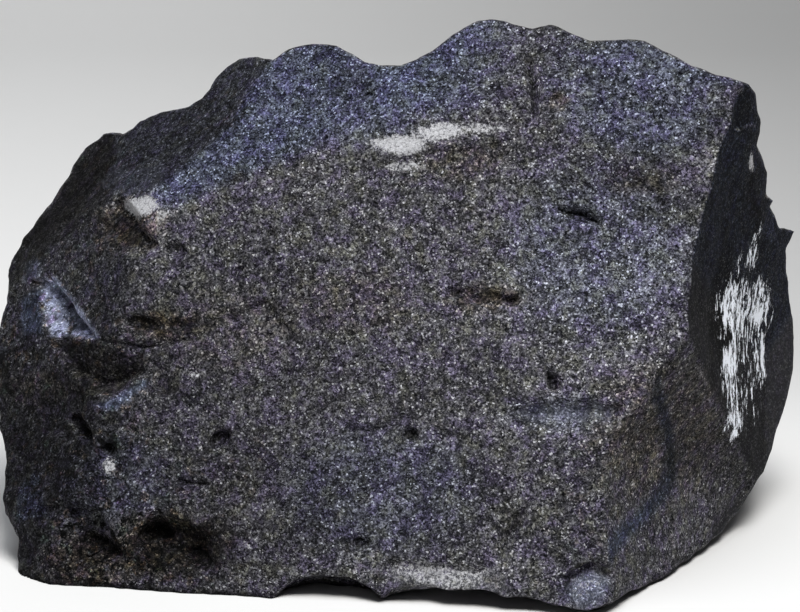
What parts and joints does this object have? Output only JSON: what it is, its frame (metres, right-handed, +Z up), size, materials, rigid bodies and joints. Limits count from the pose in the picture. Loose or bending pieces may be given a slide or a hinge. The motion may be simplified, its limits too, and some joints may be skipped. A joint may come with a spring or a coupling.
{
  "type": "basalt rock",
  "caption": "One broken piece of dark grey fine-grained basalt with a broad flat front, sharp fracture edges, flake scars and pits, resting on a flat base",
  "frame": {"origin": "middle of the bounding box in plan, on the supporting surface", "axes": "+Z up, +X along the stone's width to the right of its broad front, -Y towards the viewer of the front"},
  "size_m": [0.1142, 0.067, 0.0741],
  "materials": {
    "basalt": "dull broken stone, fine salt-and-pepper grain"
  },
  "bodies": {
    "root": {"basalt_rock": "basalt"}
  },
  "joints": []
}
